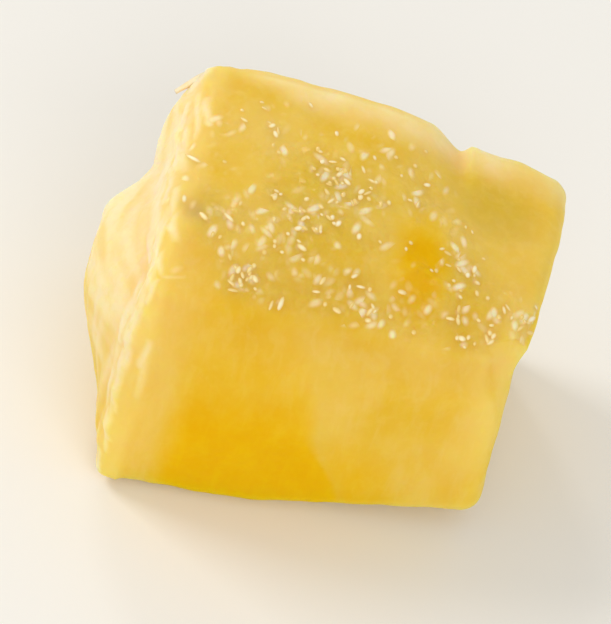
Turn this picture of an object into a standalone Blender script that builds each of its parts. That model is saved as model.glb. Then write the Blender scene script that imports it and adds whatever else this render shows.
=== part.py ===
"""Pineapple cube: one hand-cut block of fresh, peeled pineapple flesh.

The block is the wedge-like "cube" that a knife makes from a pineapple ring: six cut faces that
aren't quite parallel, taller and deeper at its left end than at its right, with worn, juicy edges.
The left face is the softest one: it bulges out, with a lobe where one fruitlet stands proud.
Metres, +Z up. The block rests on its flat underside; X runs along its longest side, the front face
looks along -Y, and the origin is the middle of the underside of its bounding box.
"""

import math

import bmesh
import bpy
from mathutils import Vector, noise

MM = 0.001

# Driving dimensions of the cut, in millimetres, to the sharp corners before the edges wear round.
WIDTH_FRONT = 17.5
WIDTH_BACK = 17.9
DEPTH_LEFT = 14.8
DEPTH_RIGHT = 12.2
HEIGHT_LEFT = 14.1
HEIGHT_RIGHT = 11.9
SKEW = 2.1  # how much further right the back edge sits than the front edge
FRONT_LEAN = 0.4  # how far the front face leans back at its top
BACK_LEAN = 0.5  # how far the back face leans out at its top
EDGE_RADIUS = 0.9
FOLD_SOFTNESS = 0.8  # extra wear of the edge between the top and front faces
FOLD_REACH = 4.5

# How far the middle of each face stands out from its corners.
LEFT_DOME = 1.5
RIGHT_DOME = -0.1  # this one is slightly hollow
FRONT_DOME = 0.55
BACK_DOME = 0.7
TOP_DOME = 0.45
UNDER_DOME = 0.3  # all of it is pressed flat, which makes the resting spot

# Single features.
LOBE_HEIGHT = 1.65  # the fruitlet that stands proud on the left face
LOBE_CENTRE = (0.6, 8.9)  # along Y and up
LOBE_CROWN = 0.22  # share of its reach that stands at full height
LOBE_SHOULDER = 3.5  # its reach up and back, where it ends in a shoulder
LOBE_FALL = 8.2  # its reach down and to the front, where it runs out gently
FLAP_SWELL = 0.65  # soft flesh that spreads at the left face's upper back corner
FLAP_CENTRE = (5.4, 11.8)
FLAP_REACH = 3.7
BACK_ARCH = 1.09  # rise of the top back edge over its middle
ARCH_TILT = 0.64  # how much more of that rise lies to the left
RIGHT_TWIST = 0.7  # how far the right face draws in at its lower back corner
OVERHANG = 0.5  # how far the top face's right edge stands out behind the step at its front end
OVERHANG_FALL = 3.0  # how far down the right face it reaches
NOTCH_DEPTH = 0.6  # nick in the top back edge, towards its right end
NOTCH_AT = 4.3
NOTCH_REACH = (1.7, 0.8)  # to its left and to its right
RIM_SWELL = (0.22, 0.24)  # how far the top back edge right of the nick curls back and up
RIM_SWELL_AT = 7.9
RIM_SWELL_REACH = 3.2
KINK_DEPTH = 0.75  # step where the top and front faces meet the right face
KINK_REACH = (0.3, 1.3)  # along the top, from the step's foot to its head
KINK_RETURN = (1.0, 5.5)  # down the front, where the step runs out
CORNER_LIFT = 1.2  # rise of the underside towards its right front corner
CORNER_FLARE = 0.4  # how far the right front corner spreads at its foot
RIDGE_HEIGHT = 0.32  # ragged fibre along the left face's edges
RIDGE_WIDTH = 0.7
EYE_DEPTH = 0.15  # seed pit beside the ridge
EYE_RADIUS = 1.0
EYE_AT = (-8.2, -2.6)
SWELL = 0.22  # slow waviness of a knife cut through fruitlets
SWELL_LENGTH = 5.0
FLAKE = 0.09  # torn cells, the finest relief of the solid
FLAKE_LENGTH = 1.7

CELLS = 22  # grid cells along each edge of the block
FILLET_CELLS = 2  # of them round each worn edge

FLESH_COLOUR = (0.82, 0.53, 0.075, 1.0)


def blend(low, high, share):
    return low + (high - low) * share


def smooth_step(value, start, end):
    """0 before start, 1 after end, with an even curve between."""
    share = min(1.0, max(0.0, (value - start) / (end - start)))
    return share * share * (3.0 - 2.0 * share)


def bump_at(distance, radius):
    """A soft hill: 1 at its middle, 0 from radius outwards."""
    return 1.0 - smooth_step(distance, 0.0, radius)


def grid_line(value, half):
    """Moves an even grid line, -1 to 1, so that FILLET_CELLS of them share each worn edge's turn."""
    index = round((value + 1.0) / 2.0 * CELLS)
    from_edge = min(index, CELLS - index)
    flat_half = half - EDGE_RADIUS
    if from_edge <= FILLET_CELLS:
        turn = math.radians(45.0) * (1.0 - from_edge / FILLET_CELLS)
        place = flat_half + EDGE_RADIUS * math.tan(turn)
    else:
        share = (from_edge - FILLET_CELLS) / (CELLS / 2.0 - FILLET_CELLS)
        place = flat_half * (1.0 - share)
    return math.copysign(place, index - CELLS / 2.0)


def worn(point, halves):
    """A point of the sharp box moved onto the same box with its edges rounded."""
    core = Vector(
        [min(h - EDGE_RADIUS, max(EDGE_RADIUS - h, p)) for p, h in zip(point, halves)]
    )
    outward = point - core
    return core + outward.normalized() * EDGE_RADIUS


def cut_block(side, depth, height):
    """The six cut faces: -1 to 1 across, front to back and up become millimetres."""
    to_back = (depth + 1.0) / 2.0
    to_right = (side + 1.0) / 2.0
    to_top = (height + 1.0) / 2.0
    x = side * blend(WIDTH_FRONT, WIDTH_BACK, to_back) / 2.0 + depth * SKEW / 2.0
    y = depth * blend(DEPTH_LEFT, DEPTH_RIGHT, to_right) / 2.0
    y += blend(FRONT_LEAN, BACK_LEAN, to_back) * (to_top - 0.5)
    z = blend(HEIGHT_LEFT, HEIGHT_RIGHT, to_right) * to_top
    return Vector((x, y, z))


def domes(side, depth, height):
    """How far each face swells out, which fades to nothing at the face's edges."""
    across = 1.0 - side * side
    along = 1.0 - depth * depth
    up = 1.0 - height * height
    full_along = 1.0 - abs(depth) ** 3
    full_up = 1.0 - abs(height) ** 3
    push = Vector((0.0, 0.0, 0.0))
    push.x -= LEFT_DOME * full_along * full_up * (1.0 - side) / 2.0
    push.x += RIGHT_DOME * along * up * (1.0 + side) / 2.0
    push.y -= FRONT_DOME * across * up * (1.0 - depth) / 2.0
    push.y += BACK_DOME * across * up * (1.0 + depth) / 2.0
    push.z += TOP_DOME * across * along * (1.0 + height) / 2.0
    push.z -= UNDER_DOME * across * along * (1.0 - height) / 2.0
    return push


def named_features(point, side, depth, height):
    """The lobe, the arch, the nicks and the lifted corner, as one shift."""
    shift = Vector((0.0, 0.0, 0.0))
    at_left = smooth_step(-side, 0.5, 1.0)
    at_back = smooth_step(depth, 0.35, 0.95)
    at_top = smooth_step(height, 0.35, 0.95)

    away = Vector((point.y - LOBE_CENTRE[0], point.z - LOBE_CENTRE[1]))
    facing = (away.x + away.y) / (1.414 * away.length + 1e-6)
    reach = blend(LOBE_FALL, LOBE_SHOULDER, smooth_step(facing, -0.6, 0.8))
    lobe = 1.0 - smooth_step(away.length / reach, LOBE_CROWN, 1.0)
    shift.x -= LOBE_HEIGHT * at_left * lobe
    to_flap = math.hypot(point.y - FLAP_CENTRE[0], point.z - FLAP_CENTRE[1])
    shift.x -= FLAP_SWELL * at_left * bump_at(to_flap, FLAP_REACH)
    shift.x -= RIGHT_TWIST * (1.0 + side) * (1.0 + depth) * (1.0 - height) / 8.0

    arch = BACK_ARCH * (1.0 - side * side) * (1.0 - ARCH_TILT * side)
    shift.z += arch * at_top * (depth + 1.0) / 2.0

    past_nick = point.x - NOTCH_AT
    nick = bump_at(abs(past_nick), NOTCH_REACH[0] if past_nick < 0.0 else NOTCH_REACH[1])
    step = smooth_step(point.x, NOTCH_AT - 0.3, NOTCH_AT + 0.6)
    shift.z -= NOTCH_DEPTH * at_top * at_back * max(nick, 0.35 * step)
    shift.y -= 0.5 * NOTCH_DEPTH * at_top * at_back * nick
    rim = bump_at(abs(point.x - RIM_SWELL_AT), RIM_SWELL_REACH) * at_top * at_back
    shift.y += RIM_SWELL[0] * rim
    shift.z += RIM_SWELL[1] * rim

    at_right = smooth_step(side, 0.6, 1.0)
    past_step = smooth_step((1.0 + depth) * DEPTH_RIGHT / 2.0, *KINK_REACH)
    below_top = (1.0 - height) * HEIGHT_RIGHT / 2.0
    kink = (1.0 - past_step) * (1.0 - smooth_step(below_top, *KINK_RETURN))
    shift.x -= KINK_DEPTH * kink * at_right
    overhang = past_step * (1.0 - smooth_step(depth, -0.1, 1.1))
    overhang *= 1.0 - smooth_step(below_top, 0.0, OVERHANG_FALL)
    shift.x += OVERHANG * overhang * at_right

    to_fold = math.hypot((1.0 + depth) * DEPTH_LEFT / 2.0, (1.0 - height) * HEIGHT_LEFT / 2.0)
    wear = FOLD_SOFTNESS * bump_at(to_fold, FOLD_REACH)
    shift.y += wear
    shift.z -= wear

    corner = 0.58 * (side + 1.0) / 2.0 + 0.42 * (1.0 - depth) / 2.0
    shift.z += CORNER_LIFT * smooth_step(corner, 0.62, 1.0) * (1.0 - height) / 2.0
    at_foot = smooth_step(-height, -0.6, 0.8) * smooth_step(-depth, 0.0, 1.0)
    shift.x += CORNER_FLARE * at_foot * smooth_step(side, 0.2, 1.0)
    return shift


def ridge(point, side, depth, height):
    """Ragged fibre that stands along the left face's top and front edges."""
    along_top = math.hypot((1.0 + side) * 8.6, (1.0 - height) * 6.2)
    along_front = math.hypot((1.0 + side) * 8.6, (1.0 + depth) * 6.4)
    near = bump_at(min(along_top, along_front), RIDGE_WIDTH * 2.0)
    ragged = 0.65 + 0.7 * noise.noise(Vector((3.1, point.y * 0.9, point.z * 0.9)))
    return RIDGE_HEIGHT * near * max(0.0, ragged)


def relief(point, side, depth, height):
    """Relief measured along the surface's normal, in millimetres."""
    slow = noise.noise(point / SWELL_LENGTH + Vector((7.3, 1.9, 4.1)))
    torn = noise.noise(point / FLAKE_LENGTH + Vector((2.2, 8.8, 5.5)))
    eye = bump_at(math.hypot(point.x - EYE_AT[0], point.y - EYE_AT[1]), EYE_RADIUS)
    eye *= smooth_step(height, 0.6, 1.0)
    rise = SWELL * slow + FLAKE * torn
    rise += ridge(point, side, depth, height)
    return rise - EYE_DEPTH * eye


def shape_block(bm):
    """Turns an even grid on a cube of half size 1 into the block, in metres."""
    halves = Vector((WIDTH_FRONT, (DEPTH_LEFT + DEPTH_RIGHT) / 2.0, HEIGHT_LEFT - 1.0)) / 2.0
    shares = {}
    for vertex in bm.verts:
        spaced = Vector([grid_line(c, h) for c, h in zip(vertex.co, halves)])
        rounded = worn(spaced, halves)
        side, depth, height = (rounded[axis] / halves[axis] for axis in range(3))
        point = cut_block(side, depth, height) + domes(side, depth, height)
        point += named_features(point, side, depth, height)
        shares[vertex.index] = (side, depth, height)
        vertex.co = point
    bm.normal_update()
    normals = {vertex.index: vertex.normal.copy() for vertex in bm.verts}
    for vertex in bm.verts:
        vertex.co += normals[vertex.index] * relief(vertex.co, *shares[vertex.index])
        vertex.co.z = max(0.0, vertex.co.z)
    low = Vector([min(v.co[axis] for v in bm.verts) for axis in range(3)])
    high = Vector([max(v.co[axis] for v in bm.verts) for axis in range(3)])
    middle = Vector(((low.x + high.x) / 2.0, (low.y + high.y) / 2.0, low.z))
    for vertex in bm.verts:
        vertex.co = (vertex.co - middle) * MM


def flesh_material():
    material = bpy.data.materials.new("pineapple_flesh")
    material.use_nodes = True
    shader = material.node_tree.nodes["Principled BSDF"]
    shader.inputs["Base Color"].default_value = FLESH_COLOUR
    shader.inputs["Roughness"].default_value = 0.32
    shader.inputs["Metallic"].default_value = 0.0
    shader.inputs["Subsurface Weight"].default_value = 0.35
    shader.inputs["Subsurface Scale"].default_value = 2.0 * MM
    shader.inputs["Coat Weight"].default_value = 0.5
    material.diffuse_color = FLESH_COLOUR
    return material


def clear_scene():
    for obj in list(bpy.data.objects):
        bpy.data.objects.remove(obj, do_unlink=True)


def build():
    clear_scene()
    collection = bpy.data.collections.new("pineapple cube")
    bpy.context.scene.collection.children.link(collection)

    bm = bmesh.new()
    bmesh.ops.create_cube(bm, size=2.0)
    bmesh.ops.subdivide_edges(bm, edges=bm.edges[:], cuts=CELLS - 1, use_grid_fill=True)
    bm.verts.index_update()
    shape_block(bm)
    bmesh.ops.recalc_face_normals(bm, faces=bm.faces[:])

    mesh = bpy.data.meshes.new("pineapple_cube")
    bm.to_mesh(mesh)
    bm.free()
    mesh.shade_smooth()
    mesh.materials.append(flesh_material())
    block = bpy.data.objects.new("pineapple_cube", mesh)
    collection.objects.link(block)
    return block


build()
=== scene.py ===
# %% [markdown]
# # A cube of fresh pineapple
# One hand-cut cube of ripe pineapple, wet with its own juice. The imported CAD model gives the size
# and the resting place. This lesson rebuilds the same block with a fine skin of cells, gives it
# translucent flesh, adds a torn sliver and wet flecks, and sets it on a pale floor.
# Lengths are in millimetres while a shape is worked out, and become metres at the end.

# %% Load the frame
import math
import random

import bmesh
import bpy
import numpy as np
from mathutils import Matrix, Vector, noise


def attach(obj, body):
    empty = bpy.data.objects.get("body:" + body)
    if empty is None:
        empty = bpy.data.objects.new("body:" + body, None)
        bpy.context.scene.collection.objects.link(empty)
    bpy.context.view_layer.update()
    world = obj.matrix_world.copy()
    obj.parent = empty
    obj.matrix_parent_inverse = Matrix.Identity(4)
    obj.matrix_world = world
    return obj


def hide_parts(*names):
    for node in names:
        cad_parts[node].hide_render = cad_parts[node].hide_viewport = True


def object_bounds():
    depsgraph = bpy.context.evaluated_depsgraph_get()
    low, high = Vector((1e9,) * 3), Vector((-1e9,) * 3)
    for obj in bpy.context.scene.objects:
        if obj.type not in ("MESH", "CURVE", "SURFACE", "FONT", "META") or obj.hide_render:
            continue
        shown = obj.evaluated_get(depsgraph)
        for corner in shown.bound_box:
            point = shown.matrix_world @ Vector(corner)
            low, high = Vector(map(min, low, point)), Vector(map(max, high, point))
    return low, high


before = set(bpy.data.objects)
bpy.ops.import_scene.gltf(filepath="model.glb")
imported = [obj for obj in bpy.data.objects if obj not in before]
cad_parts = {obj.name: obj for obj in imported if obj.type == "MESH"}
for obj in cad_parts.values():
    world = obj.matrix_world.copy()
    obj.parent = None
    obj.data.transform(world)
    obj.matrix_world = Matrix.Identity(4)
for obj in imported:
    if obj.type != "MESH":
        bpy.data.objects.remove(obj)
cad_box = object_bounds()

MM = 0.001
print("CAD box:", [[round(v / MM, 2) for v in corner] for corner in cad_box], "mm")

# %% [markdown]
# ## The cut's own sizes
# These are the sizes of the knife's cut, the same as in the CAD source: a wedge-like block,
# taller and deeper at its left end. Using the same numbers keeps the fine skin on the solid,
# so what MuJoCo collides with is what is seen.

# %% Name the sizes
WIDTH_FRONT, WIDTH_BACK = 17.5, 17.9
DEPTH_LEFT, DEPTH_RIGHT = 14.8, 12.2
HEIGHT_LEFT, HEIGHT_RIGHT = 14.1, 11.9
SKEW = 2.1
FRONT_LEAN, BACK_LEAN = 0.4, 0.5
EDGE_RADIUS = 0.9
FOLD_SOFTNESS, FOLD_REACH = 0.8, 4.5
LEFT_DOME, RIGHT_DOME, FRONT_DOME, BACK_DOME, TOP_DOME, UNDER_DOME = 1.5, -0.1, 0.55, 0.7, 0.45, 0.3
LOBE_HEIGHT, LOBE_CENTRE = 1.65, (0.6, 8.9)
LOBE_CROWN, LOBE_SHOULDER, LOBE_FALL = 0.22, 3.5, 8.2
FLAP_SWELL, FLAP_CENTRE, FLAP_REACH = 0.65, (5.4, 11.8), 3.7
BACK_ARCH, ARCH_TILT = 1.09, 0.64
RIGHT_TWIST = 0.7
OVERHANG, OVERHANG_FALL = 0.5, 3.0
NOTCH_DEPTH, NOTCH_AT, NOTCH_REACH = 0.6, 4.3, (1.7, 0.8)
RIM_SWELL, RIM_SWELL_AT, RIM_SWELL_REACH = (0.22, 0.24), 7.9, 3.2
KINK_DEPTH, KINK_REACH, KINK_RETURN = 0.75, (0.3, 1.3), (1.0, 5.5)
CORNER_LIFT, CORNER_FLARE = 1.2, 0.4
RIDGE_HEIGHT, RIDGE_WIDTH = 0.32, 0.7
EYE_DEPTH, EYE_RADIUS, EYE_AT = 0.15, 1.0, (-8.2, -2.6)
SWELL, SWELL_LENGTH = 0.22, 5.0
FLAKE, FLAKE_LENGTH = 0.09, 1.7

CELLS = 126
FILLET_CELLS = 10

# %% [markdown]
# ## Small tools for fields
# A field is one number for every point of the block, such as how far it is from an edge.
# NumPy works on all points at once, which keeps a skin of a hundred thousand points quick.
# `smooth_step` and `hill` are the soft switches that every feature below is made of.


# %% Define the field tools
def smooth_step(value, start, end):
    """0 before start, 1 after end, with an even curve between."""
    share = np.clip((value - start) / (end - start), 0.0, 1.0)
    return share * share * (3.0 - 2.0 * share)


def hill(distance, radius):
    """1 at distance 0, falling softly to 0 at the radius."""
    return 1.0 - smooth_step(distance, 0.0, radius)


def blend(low, high, share):
    return low + (high - low) * share


def noise_field(points, lengths, shift):
    """Smooth noise, -1 to 1, with a hill about as long as lengths along each axis."""
    scaled = points / np.asarray(lengths, float) + np.asarray(shift, float)
    return np.array([noise.noise(p) for p in scaled.tolist()])

# %% [markdown]
# ## The skin's grid
# The block starts as a plain cube whose six sides are cut into an even grid. The grid lines are
# then moved so that ten of them share the turn of each worn edge, and the rest are even over the
# flat. A sculpted mesh or a voxel remesh could do this too, but a grid keeps every point's place
# on the cube known (its side, depth and height), and the features below are written in those.


# %% Make the even cube
def even_cube(cells):
    bm = bmesh.new()
    bmesh.ops.create_cube(bm, size=2.0)
    bmesh.ops.subdivide_edges(bm, edges=bm.edges[:], cuts=cells - 1, use_grid_fill=True)
    bmesh.ops.recalc_face_normals(bm, faces=bm.faces[:])
    mesh = bpy.data.meshes.new("pineapple_block")
    bm.to_mesh(mesh)
    bm.free()
    return mesh


def mesh_points(mesh):
    flat = np.empty(len(mesh.vertices) * 3)
    mesh.vertices.foreach_get("co", flat)
    return flat.reshape(-1, 3)


def mesh_normals(mesh, points):
    """Vertex normals after the points have moved."""
    mesh.vertices.foreach_set("co", points.ravel())
    mesh.update()
    flat = np.empty(len(mesh.vertices) * 3)
    mesh.vertex_normals.foreach_get("vector", flat)
    return flat.reshape(-1, 3)


block_mesh = even_cube(CELLS)
even = mesh_points(block_mesh)
steps = np.rint((even + 1.0) / 2.0 * CELLS).astype(int)
print("block:", len(block_mesh.vertices), "points,", 2 * len(block_mesh.polygons), "triangles")


# %% Space the grid lines and round the edges
def spaced(values, half):
    index = np.rint((values + 1.0) / 2.0 * CELLS)
    from_edge = np.minimum(index, CELLS - index)
    flat_half = half - EDGE_RADIUS
    turn = math.radians(45.0) * (1.0 - from_edge / FILLET_CELLS)
    on_edge = flat_half + EDGE_RADIUS * np.tan(np.maximum(turn, 0.0))
    on_flat = flat_half * (1.0 - (from_edge - FILLET_CELLS) / (CELLS / 2.0 - FILLET_CELLS))
    place = np.where(from_edge <= FILLET_CELLS, on_edge, on_flat)
    return np.copysign(place, index - CELLS / 2.0)


def worn(points, halves):
    core = np.clip(points, EDGE_RADIUS - halves, halves - EDGE_RADIUS)
    outward = points - core
    return core + outward / np.linalg.norm(outward, axis=1, keepdims=True) * EDGE_RADIUS


halves = np.array([WIDTH_FRONT, (DEPTH_LEFT + DEPTH_RIGHT) / 2.0, HEIGHT_LEFT - 1.0]) / 2.0
box_points = np.stack([spaced(even[:, axis], halves[axis]) for axis in range(3)], axis=1)
side, depth, height = (worn(box_points, halves) / halves).T
to_right, to_back, to_top = (side + 1.0) / 2.0, (depth + 1.0) / 2.0, (height + 1.0) / 2.0

# %% [markdown]
# ## The cut and its swelling
# First come the six flat cuts, then a dome on each face, which fades out at the face's edges,
# because juicy flesh relaxes outward once the knife has passed. The left face swells most.

# %% Cut the block and swell its faces
x = side * blend(WIDTH_FRONT, WIDTH_BACK, to_back) / 2.0 + depth * SKEW / 2.0
y = depth * blend(DEPTH_LEFT, DEPTH_RIGHT, to_right) / 2.0
y = y + blend(FRONT_LEAN, BACK_LEAN, to_back) * (to_top - 0.5)
z = blend(HEIGHT_LEFT, HEIGHT_RIGHT, to_right) * to_top

across, along, up = 1.0 - side**2, 1.0 - depth**2, 1.0 - height**2
full_along, full_up = 1.0 - np.abs(depth) ** 3, 1.0 - np.abs(height) ** 3
x = x - LEFT_DOME * full_along * full_up * (1.0 - to_right)
x = x + RIGHT_DOME * along * up * to_right
y = y - FRONT_DOME * across * up * (1.0 - to_back) + BACK_DOME * across * up * to_back
z = z + TOP_DOME * across * along * to_top - UNDER_DOME * across * along * (1.0 - to_top)

# %% [markdown]
# ## Single features
# Each of these is one thing that happened to the cube: a fruitlet that stands proud on the left
# face with a soft flap above it, an arched back edge with a nick in it and a rim that curls up
# beside the nick, a step at the right end of the front fold with an overhang behind it, the soft
# wear of that fold, and a foot that lifts and spreads a little at its right front corner.

# %% Shift the block by its single features
at_left = smooth_step(-side, 0.5, 1.0)
at_back = smooth_step(depth, 0.35, 0.95)
at_top = smooth_step(height, 0.35, 0.95)

away_y, away_z = y - LOBE_CENTRE[0], z - LOBE_CENTRE[1]
away = np.hypot(away_y, away_z)
facing = (away_y + away_z) / (1.414 * away + 1e-6)
reach = blend(LOBE_FALL, LOBE_SHOULDER, smooth_step(facing, -0.6, 0.8))
lobe = LOBE_HEIGHT * at_left * (1.0 - smooth_step(away / reach, LOBE_CROWN, 1.0))
flap = FLAP_SWELL * at_left * hill(np.hypot(y - FLAP_CENTRE[0], z - FLAP_CENTRE[1]), FLAP_REACH)
twist = RIGHT_TWIST * to_right * to_back * (1.0 - to_top)

arch = BACK_ARCH * (1.0 - side**2) * (1.0 - ARCH_TILT * side) * at_top * to_back
past_nick = x - NOTCH_AT
nick = hill(np.abs(past_nick) / np.where(past_nick < 0.0, *NOTCH_REACH), 1.0)
step = smooth_step(past_nick, -0.3, 0.6)
nick_drop = NOTCH_DEPTH * at_top * at_back
rim = hill(np.abs(x - RIM_SWELL_AT), RIM_SWELL_REACH) * at_top * at_back

at_right = smooth_step(side, 0.6, 1.0)
past_step = smooth_step((1.0 + depth) * DEPTH_RIGHT / 2.0, *KINK_REACH)
below_top = (1.0 - height) * HEIGHT_RIGHT / 2.0
kink = KINK_DEPTH * at_right * (1.0 - past_step) * (1.0 - smooth_step(below_top, *KINK_RETURN))
overhang = OVERHANG * at_right * past_step * (1.0 - smooth_step(depth, -0.1, 1.1))
overhang = overhang * (1.0 - smooth_step(below_top, 0.0, OVERHANG_FALL))

to_fold = np.hypot((1.0 + depth) * DEPTH_LEFT / 2.0, (1.0 - height) * HEIGHT_LEFT / 2.0)
wear = FOLD_SOFTNESS * hill(to_fold, FOLD_REACH)
corner = 0.58 * to_right + 0.42 * (1.0 - to_back)
lift = CORNER_LIFT * smooth_step(corner, 0.62, 1.0) * (1.0 - to_top)
at_foot = smooth_step(-height, -0.6, 0.8) * smooth_step(-depth, 0.0, 1.0)
flare = CORNER_FLARE * at_foot * smooth_step(side, 0.2, 1.0)

x = x - lobe - flap - twist - kink + overhang + flare
y = y - 0.5 * nick_drop * nick + RIM_SWELL[0] * rim + wear
z = z + arch - nick_drop * np.maximum(nick, 0.35 * step) + RIM_SWELL[1] * rim - wear + lift
smooth_points = np.stack([x, y, z], axis=1)
normals = mesh_normals(block_mesh, smooth_points)

# %% [markdown]
# ## Where things are on the skin
# The flesh isn't the same all over. These masks, one number for each point, say where: how near
# the ragged left edges, the top face, the glistening torn cells, the amber spots where the flesh
# is soaked with juice, the pale fibrous left face, and the seams between fruitlets. Some of them
# also paint light and shade into the colour: painted shade down the front face, over the top face
# and between the ribbons, painted light up the left face, a painted highlight along the left front
# edge and a painted reflection of the floor along the foot. The same masks shape the relief below
# and colour the material later.


# %% Work out the masks
def spot(centre, radii, first, second):
    """A soft oval spot on the plane of two coordinates."""
    return np.hypot((first - centre[0]) / radii[0], (second - centre[1]) / radii[1])


half_width, half_depth, half_height = 8.9, 6.75, 6.5
from_left = (1.0 + side) * half_width
from_right = (1.0 - side) * half_width
from_front = (1.0 + depth) * half_depth
from_back = (1.0 - depth) * half_depth
from_top = (1.0 - height) * half_height
from_under = (1.0 + height) * half_height

edge_distances = np.sort(
    np.stack([from_left, from_right, from_front, from_back, from_top, from_under]), axis=0
)
near_edge = hill(np.hypot(edge_distances[0], edge_distances[1]), 1.6)

left_top_edge = np.hypot(from_left, from_top)
left_front_edge = np.hypot(from_left, from_front)
ridge_distance = np.minimum(left_top_edge, left_front_edge)

on_top = smooth_step(normals[:, 2], 0.55, 0.8) * smooth_step(height, 0.6, 0.8)
on_left = np.maximum(smooth_step(-normals[:, 0], 0.5, 0.75), smooth_step(-side, 0.99, 0.999))
on_front = smooth_step(-normals[:, 1], 0.55, 0.8) * smooth_step(-depth, 0.6, 0.8)
on_back = smooth_step(normals[:, 1], 0.55, 0.8) * smooth_step(depth, 0.6, 0.8)
on_right = smooth_step(normals[:, 0], 0.55, 0.8) * smooth_step(side, 0.6, 0.8)

drift = noise_field(smooth_points, 3.2, (4.0, 2.0, 9.0))
fine_drift = noise_field(smooth_points, 1.1, (1.0, 6.0, 3.0))

calm_corner = 0.75 * smooth_step(x, 3.6, 6.6) * smooth_step(y, -2.6, -0.8)
band = smooth_step(from_back, 2.2, 5.2) * (1.0 - calm_corner)
glisten = on_top * band * smooth_step(0.75 * drift + 0.5 * fine_drift, -0.42, 0.12)
glisten = glisten * smooth_step(from_left, 0.7, 1.9)
glisten = np.maximum(glisten, on_back * smooth_step(drift + 0.4 * fine_drift, -0.1, 0.4))

# %% [markdown]
# ## Flat ribbons of fibre
# Along the torn left edges the fibres lie on the flesh as flat, pale ribbons, nearly parallel to
# the edge, with golden flesh between them, and longer, fainter ones cross the left face. They are
# so flat that they are part of the skin: each raises a soft strip of it and makes it paler. The
# grid's own steps beside an edge say how far a point lies from a ribbon's middle.


# %% Lay the ribbons into the skin
def steps_beside(edge):
    """Grid steps along an edge, and away from it: onto one face above 0, onto the other below."""
    across, back, top = steps.T
    if edge == "top":
        along, onto, under = back, across, CELLS - top
    elif edge == "front":
        along, onto, under = top, across, back
    else:
        along, onto, under = across, back, CELLS - top
    return along, onto - under, np.minimum(onto, under) == 0


def ribbon(edge, start, offset, cells, drift_across, sway, reach):
    """Strength of one tapered ribbon at every point."""
    along, beside, near = steps_beside(edge)
    share = (along - start) / cells
    middle = offset + drift_across * share + sway * np.sin(4.0 * share + start)
    taper = np.sqrt(np.maximum(0.0, np.sin(np.pi * np.clip(share, 0.0, 1.0))))
    return taper * near * hill(np.abs(beside - middle), reach)


RIBBON_BANDS = (
    # edge, number, middle and spread of the offset, longest, least and most reach, strength
    ("top", 17, -2.0, 4.0, 36.0, (2.2, 4.4), 1.0),
    ("front", 19, -2.0, 4.0, 36.0, (2.2, 4.4), 1.0),
    ("top", 9, -17.0, 7.0, 60.0, (3.0, 6.5), 0.55),
    ("front", 9, -20.0, 8.0, 60.0, (3.0, 6.5), 0.55),
)
FIBRE_SEED = 5
fibre_chance = random.Random(FIBRE_SEED)
ribbons = np.zeros(len(x))
for edge, number, offset, spread, longest, reaches, strength in RIBBON_BANDS:
    for _ in range(number):
        cells = fibre_chance.uniform(0.35, 1.0) * longest
        start = fibre_chance.uniform(-4.0, CELLS - 0.8 * cells)
        place = fibre_chance.gauss(offset, spread)
        drift_across, sway = fibre_chance.uniform(-6.0, 4.0), fibre_chance.uniform(0.4, 1.6)
        one = ribbon(edge, start, place, cells, drift_across, sway, fibre_chance.uniform(*reaches))
        ribbons = np.maximum(ribbons, strength * fibre_chance.uniform(0.6, 1.0) * one)
ribbons = np.maximum(ribbons, 0.6 * ribbon("top", CELLS - 15.0, -0.5, 15.0, 1.0, 0.3, 3.4))
ribbons = np.maximum(ribbons, 0.45 * ribbon("fold", 2.0, 1.0, 13.0, 4.0, 0.8, 1.7))
ribbons = ribbons * (1.0 - 0.85 * on_front * smooth_step(from_left, 0.4, 1.3))
print("ribbons cover", round(100.0 * float(np.mean(ribbons > 0.3)), 1), "% of the skin")

# %% [markdown]
# ## Relief that the eye can feel
# Three sizes of relief lie on one another. The slow waves and torn flakes are the CAD's. On top
# come the juice cells: where the knife tore the flesh instead of slicing it, each cell stands up
# as a tiny bead, which is what glitters. Seams between fruitlets are shallow grooves, and the
# left edges are ragged, because the fibres there bent away from the blade.

# %% Add the relief
TEAR_RELIEF, DRIFT_RELIEF, SMALL_RELIEF = 0.035, 0.03, 0.008
RIDGE_GRAIN, WRINKLE, FRAY, SEAM_GROOVE, RIBBON_RELIEF = 0.08, 0.07, 0.04, 0.05, 0.09
slow = noise_field(smooth_points, SWELL_LENGTH, (7.3, 1.9, 4.1))
torn = noise_field(smooth_points, FLAKE_LENGTH, (2.2, 8.8, 5.5))
ragged_line = np.stack([np.full_like(y, 3.1), y * 0.9, z * 0.9], axis=1)
ragged = 0.65 + 0.7 * noise_field(ragged_line, 1.0, (0.0, 0.0, 0.0))
crumbly = noise_field(smooth_points, (0.7, 0.55, 0.55), (5.0, 5.0, 1.0))
ridge = RIDGE_HEIGHT * hill(ridge_distance, RIDGE_WIDTH * 2.0) * np.maximum(0.0, ragged)
ridge = ridge + RIDGE_GRAIN * hill(ridge_distance, 1.2) * crumbly
beside_top = left_top_edge < left_front_edge
streak_lengths = np.where(beside_top[:, None], (0.3, 2.2, 0.3), (0.3, 0.3, 2.2))
streaks = noise_field(smooth_points / streak_lengths, 1.0, (3.3, 6.1, 2.7))
ridge = ridge + RIDGE_GRAIN * hill(ridge_distance, 2.6) * streaks

eye = hill(np.hypot(x - EYE_AT[0], y - EYE_AT[1]), EYE_RADIUS) * smooth_step(height, 0.6, 1.0)

tear = noise_field(smooth_points, (0.8, 0.45, 0.6), (3.0, 1.0, 2.0))
beads = glisten * (TEAR_RELIEF * tear + DRIFT_RELIEF * fine_drift)
small = SMALL_RELIEF * noise_field(smooth_points, 0.42, (8.0, 3.0, 6.0)) * (1.0 - glisten)

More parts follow.
